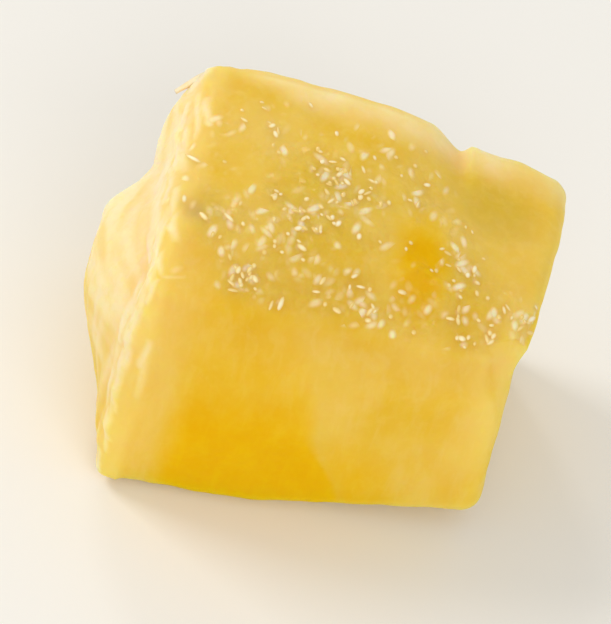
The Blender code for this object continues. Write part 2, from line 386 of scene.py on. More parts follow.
seam_line = blend(1.15, -1.87, np.clip((z - 0.85) / 8.45, 0.0, 1.4)) + 0.35 * np.sin(z * 0.9)
seam = on_front * hill(np.abs(x - seam_line), 0.8) * smooth_step(z, 0.3, 2.0)
seam = seam * (1.0 - smooth_step(z, 8.5, 10.5))
wrinkle = on_left * WRINKLE * noise_field(smooth_points, (1.5, 0.6, 2.8), (2.0, 4.0, 7.0))
frayed = near_edge * FRAY * noise_field(smooth_points, 0.8, (9.0, 7.0, 1.0))

rise = SWELL * slow + FLAKE * torn + ridge - EYE_DEPTH * eye
rise = rise + beads + small + wrinkle - SEAM_GROOVE * seam + frayed + RIBBON_RELIEF * ribbons
points = smooth_points + normals * rise[:, None]
points[:, 2] = np.maximum(points[:, 2], 0.0)

# %% [markdown]
# ## Seat the skin on the solid
# The fine relief may reach a hair past the solid's box, so the skin is centred on the origin and
# each axis is eased back by that hair. The underside stays a flat cut on the floor.

# %% Centre the skin and keep it inside the solid's box
low, high = points.min(axis=0), points.max(axis=0)
middle = np.array([(low[0] + high[0]) / 2.0, (low[1] + high[1]) / 2.0, 0.0])
cad_size = (np.array(cad_box[1]) - np.array(cad_box[0])) / MM
BOX_SLACK = 0.004
ease = np.minimum(1.0, (cad_size - BOX_SLACK) / (high - low))
points = (points - middle) * ease
print("skin eased by", np.round(ease, 4), "to", np.round((high - low) * ease, 2), "mm")

block_mesh.vertices.foreach_set("co", (points * MM).ravel())
block_mesh.update()
block_mesh.shade_smooth()


# %% Keep the masks on the mesh for the material
def keep_field(mesh, name, values):
    layer = mesh.attributes.new(name, "FLOAT", "POINT")
    layer.data.foreach_set("value", np.ascontiguousarray(values, np.float32))


# %% Soak the amber areas, and paint shade down the front face
# On the front face the amber is partly juice-soaked flesh and partly painted shade, deepening
# toward the bottom.
between = 1.15 * smooth_step(x, -8.3, -6.0) * (1.0 - smooth_step(x - seam_line, -0.25, 0.85))
deeper_down = 0.22 + 0.78 * (1.0 - smooth_step(z + 0.8 * drift, 3.0, 11.0))
front_amber_and_shade = on_front * between * deeper_down
low_amber = on_front * 0.7 * (1.0 - smooth_step(spot((1.4, 0.6), (4.4, 7.5), x, z), 0.2, 1.0))
# Painted shade: a weak amber darkening over the lower half of the front face.
front_foot_shade = on_front * 0.16 * (1.0 - smooth_step(z, 5.0, 10.0))
front_amber_and_shade = np.maximum.reduce([front_amber_and_shade, low_amber, front_foot_shade])
top_amber = 1.15 * on_top * (1.0 - smooth_step(spot((2.7, -2.2), (2.0, 3.6), x, y), 0.1, 1.0))
back_amber = on_back * (1.0 - smooth_step(spot((-1.0, 5.0), (4.5, 3.5), x, z), 0.2, 1.0))
right_amber = on_right * (1.0 - smooth_step(spot((1.0, 4.5), (3.5, 3.5), y, z), 0.2, 1.0))
amber = np.maximum.reduce([front_amber_and_shade, top_amber, 0.7 * back_amber, 0.6 * right_amber])

# %% Pale the rims, the edges and the left face, partly as painted light
rim_reach = blend(1.5, 3.2, smooth_step(x + 1.5 * drift, -7.0, -1.0))
back_rim = hill(np.hypot(from_top, from_back), rim_reach) * smooth_step(x, -8.5, -4.0)
back_rim = back_rim * (1.0 - 0.5 * smooth_step(x, 5.0, 7.5))
back_rim = back_rim * (1.0 - 0.5 * hill(np.abs(past_nick), 1.3))
back_rim = back_rim * np.clip(0.9 + 0.5 * drift + 0.35 * fine_drift, 0.3, 1.1)
# Painted highlight: a pale stripe along the rounded left front edge, over the ridge's pale fibres.
edge_highlight_stripe = 0.3 * hill(left_front_edge, 3.2) * on_front
right_stripe = 0.4 * hill(from_right, 3.4) * on_front * smooth_step(z, 2.0, 6.0)
# Painted reflection: a pale line of the floor's light along the bottom edge of the front.
foot_floor_reflection = 0.35 * hill(np.abs(from_under - 0.35), 0.8) * smooth_step(-normals[:, 1], 0.3, 0.6)
# Painted light: the left face grows paler upward, pale fibres partly standing in for the lamp's
# light.
paler_and_lit_up = smooth_step(z + 1.4 * drift + 0.8 * fine_drift, 4.2, 10.0)
left_pale = on_left * (0.1 + 0.85 * paler_and_lit_up)
ridge_pale = 0.9 * hill(ridge_distance, 1.6)
top_pale = on_top * 0.2 * (1.0 - smooth_step(spot((-5.4, 2.6), (3.6, 3.4), x, y), 0.2, 1.0))
top_end = 0.5 * on_top * hill(from_right, 3.0) * smooth_step(-y, 0.5, 3.5)
pale = np.maximum.reduce([left_pale, 0.9 * back_rim, ridge_pale, edge_highlight_stripe, right_stripe, foot_floor_reflection])
pale = np.maximum.reduce([pale, top_pale, top_end])

# %% Bleach and line the fibres, with painted light up the left face and painted shade in the gaps
left_streaks = noise_field(smooth_points, (1.2, 3.4, 0.7), (6.0, 3.0, 1.0))
# Streaked, pale fibres on the upper left face and the back rim, partly painted light.
bleached_and_lit = on_left * paler_and_lit_up * (0.25 + 0.55 * paler_and_lit_up + 0.2 * streaks + 0.6 * left_streaks)
bleached_and_lit = np.maximum(0.9 * back_rim, bleached_and_lit)
edge_line = (1.0 - smooth_step(from_back, 0.55, 0.95)) * smooth_step(height, 0.75, 0.9)
edge_line = edge_line * (1.0 - smooth_step(x, 0.5, 3.5))
# Darker gold between the raised ribbons and in streaks on the left face: the flesh's own gold,
# partly painted crease shade.
gaps_and_crease_shade = 0.7 * hill(ridge_distance, 2.4) * np.maximum(on_left, hill(ridge_distance, 1.2))
gaps_and_crease_shade = gaps_and_crease_shade * (1.0 - smooth_step(ribbons, 0.05, 0.4))
gaps_and_crease_shade = np.maximum(gaps_and_crease_shade, 0.5 * on_left * smooth_step(-left_streaks, 0.1, 0.5))

# %% Dull the top face with olive spots and an even painted shade
right_olive = on_top * (1.0 - smooth_step(spot((6.0, 2.6), (4.2, 3.2), x, y), 0.1, 1.0))
left_olive = on_top * (1.0 - smooth_step(spot((-7.6, -2.4), (1.6, 2.6), x, y), 0.1, 1.0))
# Painted shade: the whole top face is dulled a little toward olive, over its two olive spots.
olive = np.maximum.reduce([right_olive, left_olive, 0.3 * on_top * (0.8 + drift)])

# %% Write the fields and set the block in its place
keep_field(block_mesh, "amber", np.clip(amber + 0.15 * drift * amber, 0.0, 1.0))
keep_field(block_mesh, "pale", np.clip(pale + 0.2 * drift * pale, 0.0, 1.0))
keep_field(block_mesh, "olive", olive)
keep_field(block_mesh, "bleached_and_lit", bleached_and_lit)
keep_field(block_mesh, "glisten", glisten)
keep_field(block_mesh, "seam", seam)
keep_field(block_mesh, "ribbon", ribbons)
keep_field(block_mesh, "eye", eye)
keep_field(block_mesh, "line", np.maximum(edge_line, gaps_and_crease_shade))

block = bpy.data.objects.new("pineapple_block", block_mesh)
bpy.context.scene.collection.objects.link(block)
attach(block, "root")
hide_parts("pineapple_cube")

# %% [markdown]
# ## The torn corner
# At the upper left back corner the blade pulled a sliver of the rim loose, and it hangs out over
# the left face by its root. It is a short oval tube along a bent line, which thins towards both
# ends. It starts a little inside the flesh, so it can't come apart from the block.

# %% Find the skin's own normals
skin_normals = mesh_normals(block_mesh, points)
block_mesh.vertices.foreach_set("co", (points * MM).ravel())
block_mesh.update()

# %% Shape the sliver
SLIVER_SIDES, SLIVER_STEPS = 8, 9
SLIVER_ROOT, SLIVER_TIP = np.array([0.35, 0.1, -0.12]), np.array([-1.5, -1.1, -0.7])
SLIVER_SAG = np.array([0.0, 0.0, -0.25])
SLIVER_THICK, SLIVER_TALL, SLIVER_LEAST = 0.3, 0.15, 0.55
SLIVER_UP = np.array([-0.35, 0.3, 0.88])


def tapered_rings(centres):
    """Oval rings round a line of middles: SLIVER_THICK and SLIVER_TALL are half widths."""
    count = len(centres)
    rings = []
    for number in range(count):
        ahead = centres[min(number + 1, count - 1)] - centres[max(number - 1, 0)]
        across_way = np.cross(ahead / np.linalg.norm(ahead), SLIVER_UP)
        swell = math.sin(math.pi * min(0.94, number / (count - 1) + 0.08))
        taper = blend(SLIVER_LEAST, 1.0, swell)
        for corner_number in range(SLIVER_SIDES):
            angle = 2.0 * math.pi * corner_number / SLIVER_SIDES
            wide = across_way * math.cos(angle) * SLIVER_THICK
            tall = SLIVER_UP * math.sin(angle) * SLIVER_TALL
            rings.append(centres[number] + (wide + tall) * taper)
    return rings


def tube_faces(count):
    faces = [tuple(range(SLIVER_SIDES))]
    for ring in range(count - 1):
        low_ring, high_ring = ring * SLIVER_SIDES, (ring + 1) * SLIVER_SIDES
        for k in range(SLIVER_SIDES):
            following = (k + 1) % SLIVER_SIDES
            faces.append((low_ring + k, high_ring + k, high_ring + following, low_ring + following))
    last_ring = (count - 1) * SLIVER_SIDES
    faces.append(tuple(last_ring + k for k in reversed(range(SLIVER_SIDES))))
    return faces


at_corner = (steps == (0, CELLS - 3, CELLS)).all(axis=1)
corner_place = points[at_corner][0]
shares = np.linspace(0.0, 1.0, SLIVER_STEPS)
hanging = [corner_place + blend(SLIVER_ROOT, SLIVER_TIP, s) + SLIVER_SAG * s**2 for s in shares]
print("sliver: from", np.round(hanging[0], 2), "to", np.round(hanging[-1], 2))


def piece_from(name, place_list, faces):
    """A mesh object from points in millimetres, which rides on the block's body."""
    mesh = bpy.data.meshes.new(name)
    mesh.from_pydata([tuple(v * MM for v in p) for p in place_list], [], faces)
    mesh.update()
    mesh.shade_smooth()
    piece = bpy.data.objects.new(name, mesh)
    bpy.context.scene.collection.objects.link(piece)
    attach(piece, "root")
    return piece


sliver = piece_from("torn_sliver", tapered_rings(hanging), tube_faces(SLIVER_STEPS))

# %% [markdown]
# ## Torn cells that stand proud
# Between the slices the blade tears the flesh, and the walls of single juice cells stand up as
# short, wet flecks. They crowd together in patches on the top face. Each is a small closed lens,
# set into the skin; most are short, a few are long, and they lean two ways, as torn rows of cells
# do. The brightest ones are placed at listed spots.
# Their pale colour is a painted highlight, brightest at each lens's crown.

# %% Say where the flecks crowd
PATCHES = (
    # middle along X and Y, reach along X and Y, share of the flecks
    ((-1.0, 0.9), (2.6, 2.4), 0.85),
    ((-3.4, -2.6), (3.0, 2.6), 0.85),
    ((-5.6, -4.6), (2.4, 1.6), 0.8),
    ((-6.8, -2.2), (2.2, 2.4), 0.6),
    ((-7.4, 1.6), (1.8, 3.4), 0.5),
    ((-4.6, 2.8), (3.0, 2.6), 0.55),
    ((0.0, 3.0), (3.0, 2.0), 0.65),
    ((0.6, -4.7), (3.2, 1.8), 0.6),
    ((4.8, -1.4), (1.5, 2.6), 0.6),
    ((5.4, -4.6), (2.4, 1.4), 0.6),
    ((7.4, -3.9), (1.9, 1.9), 1.3),
    ((2.8, 1.6), (1.8, 2.4), 0.5),
)
crowd = 0.3 * on_top * band * (1.0 - 0.5 * smooth_step(x, 3.0, 6.0))
for centre, radii, share in PATCHES:
    patch = 1.0 - smooth_step(spot(centre, radii, x, y), 0.3, 1.3)
    crowd = np.maximum(crowd, share * on_top * patch)
crowd = crowd * (0.35 + 0.65 * smooth_step(fine_drift + 0.4 * drift, -0.7, 0.2))
back_crowd = 0.6 * on_back * smooth_step(drift + 0.5 * fine_drift, 0.05, 0.5)
back_crowd = back_crowd * smooth_step(from_top, 1.8, 3.0)
crowd = np.maximum(crowd, back_crowd)
keep_field(block_mesh, "crowd", crowd)

# %% Shape and set one fleck
LENS_SIDES = 8
LENS_POINTS = 2 * LENS_SIDES + 1
fleck_points, fleck_faces, glint_levels = [], [], []
FLECK_SEED = 11
chance = random.Random(FLECK_SEED)


def lens(place, normal, heading, length, width, tall):
    """Points of one flat lens: a sunk rim, a shoulder and a crown."""
    ahead = heading - normal * np.dot(heading, normal)
    ahead = ahead / np.linalg.norm(ahead)
    beside = np.cross(normal, ahead)
    found = []
    for share, up_share in ((1.0, -0.15), (0.55, 0.7)):
        for k in range(LENS_SIDES):
            angle = 2.0 * math.pi * k / LENS_SIDES
            out = ahead * math.cos(angle) * length + beside * math.sin(angle) * width
            found.append(place + out * share / 2.0 + normal * tall * up_share)
    found.append(place + normal * tall)
    return found


def lens_faces(first):
    crown = first + 2 * LENS_SIDES
    faces = [tuple(first + k for k in reversed(range(LENS_SIDES)))]
    for k in range(LENS_SIDES):
        following = (k + 1) % LENS_SIDES
        upper, upper_next = first + LENS_SIDES + k, first + LENS_SIDES + following
        faces.append((first + k, first + following, upper_next, upper))
        faces.append((upper, upper_next, crown))
    return faces


def set_fleck(vertex, turn, length, width, glint_brightness):
    """One lens on the skin at a vertex, turned in the plane of the top face."""
    jitter = np.array([chance.uniform(-0.07, 0.07) for _ in range(3)])
    normal = skin_normals[vertex]
    place = points[vertex] + jitter - normal * np.dot(jitter, normal)
    heading = np.array([math.cos(turn), math.sin(turn), 0.2])
    # Painted highlight: each lens pales from its rim to its crown, most on the bright ones.
    glint_levels.extend([0.0] * LENS_SIDES + [0.55 * glint_brightness] * LENS_SIDES + [glint_brightness])
    fleck_faces.extend(lens_faces(len(fleck_points)))
    fleck_points.extend(lens(place, normal, heading, length, width, chance.uniform(0.02, 0.035)))


# %% Place the brightest flecks
BRIGHT_FLECKS = (
    # along X and Y on the top face, turn in degrees, length
    (-8.4, 0.6, -33.0, 0.85),
    (-8.6, -2.1, 90.0, 0.5),
    (-7.8, -2.9, -55.0, 0.55),
    (-6.6, -2.6, -40.0, 0.7),
    (-4.9, 2.9, -70.0, 0.5),
    (-5.0, 3.5, 50.0, 0.4),
    (-2.5, 1.9, 70.0, 0.4),
    (-1.2, 1.0, -40.0, 0.5),
    (-0.6, 0.7, 60.0, 0.5),
    (2.6, 2.4, 20.0, 0.45),
    (-1.4, -1.5, 60.0, 0.45),
    (-0.5, -1.9, 80.0, 0.4),
    (-3.4, -2.3, 30.0, 0.45),
    (-3.0, -3.2, -30.0, 0.5),
    (-5.8, -4.9, 80.0, 0.4),
    (-4.9, -5.0, -50.0, 0.45),
    (-3.5, -5.6, 85.0, 0.7),
    (5.2, -1.3, 80.0, 0.5),
    (5.1, -1.9, 80.0, 0.35),
    (8.3, -3.0, 40.0, 0.6),
    (5.0, -4.8, -20.0, 0.4),
)
skyward = np.where(on_top > 0.5, 0.0, 1000.0)
for place_x, place_y, degrees, length in BRIGHT_FLECKS:
    vertex = int(np.argmin(np.hypot(x - place_x, y - place_y) + skyward))
    set_fleck(vertex, math.radians(degrees), 1.1 * length, 0.28, 1.2)

# %% Scatter the other flecks
FLECKS = 200
weights = np.cumsum(crowd**2 * smooth_step(from_left, 0.9, 1.7))
for _ in range(FLECKS):
    vertex = int(np.searchsorted(weights, chance.random() * weights[-1]))
    turn = chance.gauss(*chance.choice(((1.3, 0.45), (-0.6, 0.4))))
    length = 0.24 + 0.36 * chance.random() ** 2
    set_fleck(vertex, turn, length, chance.uniform(0.16, 0.26), 0.15 + 0.8 * chance.random() ** 1.3)
flecks = piece_from("juice_flecks", fleck_points, fleck_faces)
ends = np.empty(len(flecks.data.edges) * 2, np.int32)
flecks.data.edges.foreach_get("vertices", ends)
on_rim = (ends.reshape(-1, 2) % LENS_POINTS < LENS_SIDES).all(axis=1)
flecks.data.attributes.new("sharp_edge", "BOOLEAN", "EDGE").data.foreach_set("value", on_rim)
keep_field(flecks.data, "crown", np.array(glint_levels))
print("flecks:", len(fleck_points), "points")

# %% [markdown]
# ## Building materials by hand
# A few short helpers keep the node trees readable: one adds a node with its settings, one joins
# two sockets, and one makes a shader node group with named inputs and outputs.


# %% Define the node helpers
def add_node(tree, kind, **settings):
    node = tree.nodes.new(kind)
    for name, value in settings.items():
        setattr(node, name, value)
    return node


def math_node(tree, operation, first, second=None, clamp=False):
    node = add_node(tree, "ShaderNodeMath", operation=operation, use_clamp=clamp)
    for socket, value in zip(node.inputs, (first, second)):
        if value is None:
            continue
        if isinstance(value, (int, float)):
            socket.default_value = value
        else:
            tree.links.new(value, socket)
    return node.outputs[0]


def mix_colour(tree, share, low, high, blend_type="MIX"):
    node = add_node(tree, "ShaderNodeMix", data_type="RGBA", blend_type=blend_type)
    for socket, value in zip((node.inputs[0], node.inputs[6], node.inputs[7]), (share, low, high)):
        if hasattr(value, "links"):
            tree.links.new(value, socket)
        else:
            socket.default_value = value
    return node.outputs[2]


def field_node(tree, name):
    return add_node(tree, "ShaderNodeAttribute", attribute_name=name).outputs["Fac"]


def ramp(tree, value, start, end):
    """A value moved from start..end to 0..1."""
    node = add_node(tree, "ShaderNodeMapRange", interpolation_type="SMOOTHSTEP")
    tree.links.new(value, node.inputs["Value"])
    node.inputs["From Min"].default_value = start
    node.inputs["From Max"].default_value = end
    return node.outputs["Result"]


def new_group(name, inputs, outputs):
    """A shader node group with named sockets: (name, kind, default) in, (name, kind) out."""
    group = bpy.data.node_groups.new(name, "ShaderNodeTree")
    for label, kind, default in inputs:
        socket = group.interface.new_socket(name=label, in_out="INPUT", socket_type=kind)
        socket.default_value = default
    for label, kind in outputs:
        group.interface.new_socket(name=label, in_out="OUTPUT", socket_type=kind)
    return group, group.nodes.new("NodeGroupInput"), group.nodes.new("NodeGroupOutput")


# %% [markdown]
# ## One group for pineapple grain
# The flesh, the sliver and the flecks share the same grain: pale fibres that run through yellow
# flesh, and cloudy patches where it holds more or less juice. The group puts out a fibre mask, a
# cloud mask and a height for the bump, so each material can mix them in its own measure.

# %% Make the grain group
def grain_group():
    group, entry, leave = new_group(
        "pineapple_grain",
        [
            ("Cells per metre", "NodeSocketFloat", 3500.0),
            ("Stretch", "NodeSocketVector", (1.0, 1.0, 1.0)),
        ],
        [
            ("Fibre", "NodeSocketFloat"),
            ("Cloud", "NodeSocketFloat"),
            ("Height", "NodeSocketFloat"),
        ],
    )
    place = add_node(group, "ShaderNodeTexCoord").outputs["Object"]
    stretched = add_node(group, "ShaderNodeVectorMath", operation="MULTIPLY")
    group.links.new(place, stretched.inputs[0])
    group.links.new(entry.outputs["Stretch"], stretched.inputs[1])

    fibre = add_node(group, "ShaderNodeTexNoise", noise_dimensions="3D")
    fibre.inputs["Detail"].default_value = 4.0
    fibre.inputs["Roughness"].default_value = 0.6
    fibre.inputs["Distortion"].default_value = 0.4
    group.links.new(stretched.outputs[0], fibre.inputs["Vector"])
    group.links.new(math_node(group, "MULTIPLY", entry.outputs[0], 0.35), fibre.inputs["Scale"])
    group.links.new(ramp(group, fibre.outputs["Fac"], 0.42, 0.72), leave.inputs["Fibre"])

    cloud = add_node(group, "ShaderNodeTexNoise", noise_dimensions="3D")
    cloud.inputs["Detail"].default_value = 3.0
    group.links.new(place, cloud.inputs["Vector"])
    group.links.new(math_node(group, "MULTIPLY", entry.outputs[0], 0.08), cloud.inputs["Scale"])
    group.links.new(ramp(group, cloud.outputs["Fac"], 0.3, 0.7), leave.inputs["Cloud"])

    cells = add_node(group, "ShaderNodeTexVoronoi", feature="SMOOTH_F1")
    cells.inputs["Smoothness"].default_value = 0.5
    group.links.new(place, cells.inputs["Vector"])
    group.links.new(entry.outputs[0], cells.inputs["Scale"])
    bead = math_node(group, "SUBTRACT", 1.0, cells.outputs["Distance"])
    rough = math_node(group, "MULTIPLY", fibre.outputs["Fac"], 0.6)
    group.links.new(math_node(group, "ADD", bead, rough), leave.inputs["Height"])
    return group


GRAIN = grain_group()
print("grain group:", len(GRAIN.nodes), "nodes")

# %% [markdown]
# ## One group for torn cells
# Most torn cells are too small to model one by one. This group draws them: four layers of
# stretched Voronoi cells, each layer turned its own way, and of every layer only some cells. A
# random number of each cell is held against the crowd field, so flecks crowd where that is high.
# Cells that the skin cuts near their middle give big flecks, and the rest give small, faint ones.
# The flecks are painted highlights: pale colour that stands for the glints of wet torn cells.

# %% Make the fleck group
FLECK_LAYERS = (
    # turn in degrees, stretch, share of the cells
    (70.0, 2.1, 1.0),
    (105.0, 1.8, 0.9),
    (40.0, 2.2, 0.8),
    (-35.0, 2.4, 0.6),
)


def glint_fleck_group():
    group, entry, leave = new_group(
        "torn_cell_glints",
        [("Crowd", "NodeSocketFloat", 0.5), ("Cells per metre", "NodeSocketFloat", 2000.0)],
        [("Fleck", "NodeSocketFloat")],
    )
    place = add_node(group, "ShaderNodeTexCoord").outputs["Object"]
    total = None
    for number, (degrees, stretch, share) in enumerate(FLECK_LAYERS):
        turned = add_node(group, "ShaderNodeMapping", vector_type="TEXTURE")
        turned.inputs["Location"].default_value = (0.01 * number, 0.003 * number, 0.02 * number)
        turned.inputs["Rotation"].default_value = (0.0, 0.0, math.radians(degrees))
        turned.inputs["Scale"].default_value = (stretch, 1.0, 1.0)
        group.links.new(place, turned.inputs["Vector"])
        cells = add_node(group, "ShaderNodeTexVoronoi", feature="F1")
        group.links.new(turned.outputs["Vector"], cells.inputs["Vector"])
        group.links.new(entry.outputs["Cells per metre"], cells.inputs["Scale"])
        dome = ramp(group, cells.outputs["Distance"], 0.5, 0.12)
        parts = add_node(group, "ShaderNodeSeparateColor")
        group.links.new(cells.outputs["Color"], parts.inputs["Color"])
        over = math_node(group, "MULTIPLY_ADD", entry.outputs["Crowd"], share)
        group.links.new(parts.outputs["Red"], over.node.inputs[2])
        chosen = ramp(group, over, 1.0, 1.15)
        strength = ramp(group, parts.outputs["Green"], -0.1, 1.0)
        fleck = math_node(group, "MULTIPLY", math_node(group, "MULTIPLY", dome, chosen), strength)
        total = fleck if total is None else math_node(group, "MAXIMUM", total, fleck)
    group.links.new(total, leave.inputs["Fleck"])
    return group


TORN_CELL_GLINTS = glint_fleck_group()

# %% [markdown]
# ## The flesh
# Fresh pineapple glows because light goes a few millimetres into it and comes back more golden.
# Random-walk subsurface scattering does that, red light going furthest and blue hardly at all.
# A thin wet coat lies on top. Its bump is strongest where the cells are torn, so the beads catch
# the lamp as separate glints and the smooth knife cuts stay calm.

# %% Make the flesh material
GOLD = (0.80, 0.51, 0.035, 1.0)
AMBER = (0.84, 0.48, 0.001, 1.0)
CREAM = (0.93, 0.71, 0.24, 1.0)
FIBRE_CREAM = (0.94, 0.76, 0.34, 1.0)
RIDGE_CREAM = (1.0, 0.79, 0.46, 1.0)
OLIVE = (0.62, 0.42, 0.04, 1.0)
MOTTLE = (0.88, 0.62, 0.12, 1.0)
AMBER_TINT = (1.0, 0.96, 0.02, 1.0)
# Painted highlight: the pale colour of the torn cells' flecks.
FLECK_GLINT_PALE = (1.0, 0.84, 0.52, 1.0)
EYE_GREY = (0.55, 0.42, 0.16, 1.0)
LINE_GOLD = (0.88, 0.56, 0.13, 1.0)
RIBBON_CREAM = (1.0, 0.77, 0.48, 1.0)
SKIN_TONES = (
    # field, how much of it shows, colour
    ("seam", 0.15, FIBRE_CREAM),
    ("olive", 0.6, OLIVE),
    ("bleached_and_lit", 1.0, RIDGE_CREAM),
    ("eye", 0.4, EYE_GREY),
    ("line", 0.7, LINE_GOLD),
    ("ribbon", 0.9, RIBBON_CREAM),
)


def glint_normal(tree, share):
    """A coat normal in small flat facets, each tilted its own way, where the flesh is torn."""
    place = add_node(tree, "ShaderNodeTexCoord").outputs["Object"]
    facets = add_node(tree, "ShaderNodeTexVoronoi", feature="F1")
    facets.inputs["Scale"].default_value = 3600.0
    tree.links.new(place, facets.inputs["Vector"])
    tilt = add_node(tree, "ShaderNodeVectorMath", operation="SUBTRACT")
    tree.links.new(facets.outputs["Color"], tilt.inputs[0])
    tilt.inputs[1].default_value = (0.5, 0.5, 0.5)
    scaled = add_node(tree, "ShaderNodeVectorMath", operation="SCALE")
    tree.links.new(tilt.outputs[0], scaled.inputs[0])
    tree.links.new(math_node(tree, "MULTIPLY", share, 1.1), scaled.inputs["Scale"])
    straight = add_node(tree, "ShaderNodeNewGeometry").outputs["Normal"]
    tilted = add_node(tree, "ShaderNodeVectorMath", operation="ADD")
    tree.links.new(straight, tilted.inputs[0])
    tree.links.new(scaled.outputs[0], tilted.inputs[1])
    unit = add_node(tree, "ShaderNodeVectorMath", operation="NORMALIZE")
    tree.links.new(tilted.outputs[0], unit.inputs[0])
    return unit.outputs[0]


def flesh_colour(tree, grain, torn):
    """Gold flesh, amber and pale areas, the skin's tones, mottle, and pale flecks over it."""
    # Parts of these areas are painted shade and light, and the pale flecks are painted highlights.
    cloud_share = math_node(tree, "MULTIPLY", grain.outputs["Cloud"], 0.35)
    cloudy = mix_colour(tree, cloud_share, GOLD, CREAM)
    soaked_and_shaded = mix_colour(tree, field_node(tree, "amber"), cloudy, AMBER)
    paler = mix_colour(tree, field_node(tree, "pale"), soaked_and_shaded, CREAM)
    fibre_share = math_node(tree, "MULTIPLY", grain.outputs["Fibre"], 0.14)
    tone = mix_colour(tree, fibre_share, paler, FIBRE_CREAM)
    for name, share, colour in SKIN_TONES:
        shown = math_node(tree, "MULTIPLY", field_node(tree, name), share)
        tone = mix_colour(tree, shown, tone, colour)
    fine = add_node(tree, "ShaderNodeGroup", node_tree=GRAIN)
    fine.inputs["Cells per metre"].default_value = 4200.0
    mottle_share = math_node(tree, "MULTIPLY", fine.outputs["Fibre"], 0.22)
    mottled = mix_colour(tree, mottle_share, tone, MOTTLE)
    deepened = mix_colour(tree, field_node(tree, "amber"), mottled, AMBER_TINT, "MULTIPLY")
    return mix_colour(tree, torn.outputs["Fleck"], deepened, FLECK_GLINT_PALE)


def wet_the_flesh(tree, shader, glisten):
    """More coat and less roughness where the cells are torn."""
    wet = math_node(tree, "MULTIPLY_ADD", glisten, 0.6)
    wet.node.inputs[2].default_value = 0.05
    tree.links.new(wet, shader.inputs["Coat Weight"])
    dull = add_node(tree, "ShaderNodeMapRange")
    tree.links.new(glisten, dull.inputs["Value"])
    dull.inputs["To Min"].default_value = 0.52
    dull.inputs["To Max"].default_value = 0.3
    tree.links.new(dull.outputs["Result"], shader.inputs["Roughness"])
    tree.links.new(glint_normal(tree, glisten), shader.inputs["Coat Normal"])


def raise_the_cells(tree, shader, grain, torn, glisten):
    """Bump from the grain, stronger where the cells are torn, and from the painted flecks."""
    bump = add_node(tree, "ShaderNodeBump")
    bump.inputs["Distance"].default_value = 0.00022
    bump.inputs["Strength"].default_value = 1.0
    strength = math_node(tree, "MULTIPLY_ADD", glisten, 0.25)
    strength.node.inputs[2].default_value = 0.12
    beads = math_node(tree, "MULTIPLY", grain.outputs["Height"], strength)
    raised = math_node(tree, "MULTIPLY_ADD", torn.outputs["Fleck"], 0.3)
    tree.links.new(beads, raised.node.inputs[2])
    tree.links.new(raised, bump.inputs["Height"])
    tree.links.new(bump.outputs["Normal"], shader.inputs["Normal"])


def flesh_material():
    material = bpy.data.materials.new("pineapple_flesh")
    material.use_nodes = True
    tree = material.node_tree
    shader = tree.nodes["Principled BSDF"]
    grain = add_node(tree, "ShaderNodeGroup", node_tree=GRAIN)
    grain.inputs["Cells per metre"].default_value = 2600.0
    grain.inputs["Stretch"].default_value = (1.6, 1.6, 0.45)
    torn = add_node(tree, "ShaderNodeGroup", node_tree=TORN_CELL_GLINTS)
    tree.links.new(field_node(tree, "crowd"), torn.inputs["Crowd"])
    tree.links.new(flesh_colour(tree, grain, torn), shader.inputs["Base Color"])

    shader.inputs["Subsurface Weight"].default_value = 0.85
    shader.inputs["Subsurface Radius"].default_value = (1.0, 0.6, 0.15)
    shader.inputs["Subsurface Scale"].default_value = 0.0035
    shader.inputs["IOR"].default_value = 1.38
    shader.inputs["Coat IOR"].default_value = 1.34
    shader.inputs["Coat Roughness"].default_value = 0.2
    shader.inputs["Specular IOR Level"].default_value = 0.06

    glisten = field_node(tree, "glisten")
    wet_the_flesh(tree, shader, glisten)
    raise_the_cells(tree, shader, grain, torn, glisten)
    return material


block_mesh.materials.append(flesh_material())

# %% [markdown]
# ## The sliver and the wet flecks
# The sliver is flesh that has lost its juice, so it is paler and drier than the block. The flecks
# are very glossy and paler still, as a painted highlight that is brightest at their crowns, and
# they melt into the flesh's own gold at their rims.

# %% Make the sliver and fleck materials
STRAND_LOW, STRAND_HIGH = (1.0, 0.78, 0.40, 1.0), (1.0, 0.87, 0.60, 1.0)
# Painted highlight: the pale colours the flecks reach at their crowns.
FLECK_GLINT_LOW, FLECK_GLINT_HIGH = (1.0, 0.86, 0.45, 1.0), (1.0, 0.95, 0.75, 1.0)
FLECK_RIM = (0.88, 0.60, 0.13, 1.0)


def fibre_material():
    material = bpy.data.materials.new("pale_fibre")
    material.use_nodes = True
    tree = material.node_tree
    shader = tree.nodes["Principled BSDF"]
    grain = add_node(tree, "ShaderNodeGroup", node_tree=GRAIN)
    grain.inputs["Cells per metre"].default_value = 5000.0
    tone = mix_colour(tree, grain.outputs["Fibre"], STRAND_LOW, STRAND_HIGH)
    tree.links.new(tone, shader.inputs["Base Color"])
    shader.inputs["Roughness"].default_value = 0.38
    shader.inputs["Coat Weight"].default_value = 0.3
    shader.inputs["Coat Roughness"].default_value = 0.1
    bump = add_node(tree, "ShaderNodeBump")
    bump.inputs["Distance"].default_value = 0.00003
    tree.links.new(grain.outputs["Height"], bump.inputs["Height"])
    tree.links.new(bump.outputs["Normal"], shader.inputs["Normal"])
    return material


